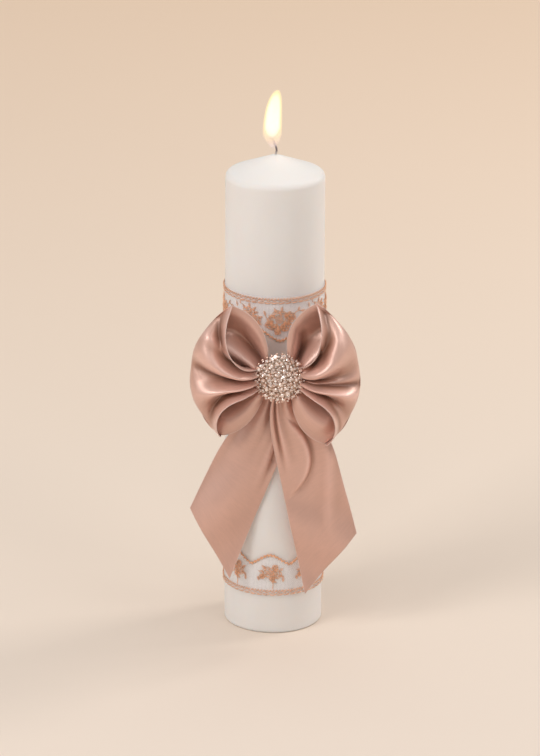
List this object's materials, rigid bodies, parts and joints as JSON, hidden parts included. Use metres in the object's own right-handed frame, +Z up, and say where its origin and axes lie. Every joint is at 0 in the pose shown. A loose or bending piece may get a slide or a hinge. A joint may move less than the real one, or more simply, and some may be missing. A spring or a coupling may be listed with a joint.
{
  "type": "unity candle",
  "caption": "Lit wax pillar candle with embroidered lace bands, a gathered satin bow with slant-cut tails, and a domed rhinestone brooch.",
  "frame": {"origin": "centre of the flat base, on the surface that the candle stands on", "axes": "+Z up along the pillar and wick; the bow and brooch face -Y; +X is to the right seen from the bow's side"},
  "size_m": [0.1022, 0.0903, 0.3384],
  "materials": {
    "wax": "smooth ivory-white candle wax, slightly translucent",
    "wick": "braided cotton, charred where it is out of the wax",
    "clip_metal": "plain tinned sheet steel",
    "flame": "burning gas, gives light",
    "tulle": "fine white tulle net",
    "embroidery": "rose-gold embroidery thread with a soft shine",
    "tape": "thin clear adhesive strip",
    "satin": "dusty-rose satin with a soft silky shine",
    "thread": "sewing thread",
    "glue": "cloudy hot-melt glue",
    "brooch_metal": "polished pale champagne plating",
    "rhinestone": "clear cut glass"
  },
  "bodies": {
    "root": {"pillar": "wax", "wick": "wick", "wick_clip": "clip_metal", "flame": "flame", "top_lace_net": "tulle", "top_lace_border": "embroidery", "top_lace_ladder": "embroidery", "top_lace_scallop_cord": "embroidery", "top_lace_roses": "embroidery", "top_lace_sprigs": "embroidery", "top_lace_tape": "tape", "bottom_lace_net": "tulle", "bottom_lace_border": "embroidery", "bottom_lace_ladder": "embroidery", "bottom_lace_scallop_cord": "embroidery", "bottom_lace_roses": "embroidery", "bottom_lace_sprigs": "embroidery", "bottom_lace_tape": "tape", "bow_loop_left": "satin", "bow_loop_right": "satin", "bow_tail_left": "satin", "bow_tail_right": "satin", "bow_knot": "satin", "bow_gather_thread": "thread", "bow_glue_pad": "glue", "brooch_shank": "brooch_metal", "brooch_plate": "brooch_metal", "brooch_settings": "brooch_metal", "brooch_stone_centre": "rhinestone", "brooch_stones_inner": "rhinestone", "brooch_stones_outer": "rhinestone", "brooch_rim_beads": "brooch_metal"}
  },
  "joints": []
}
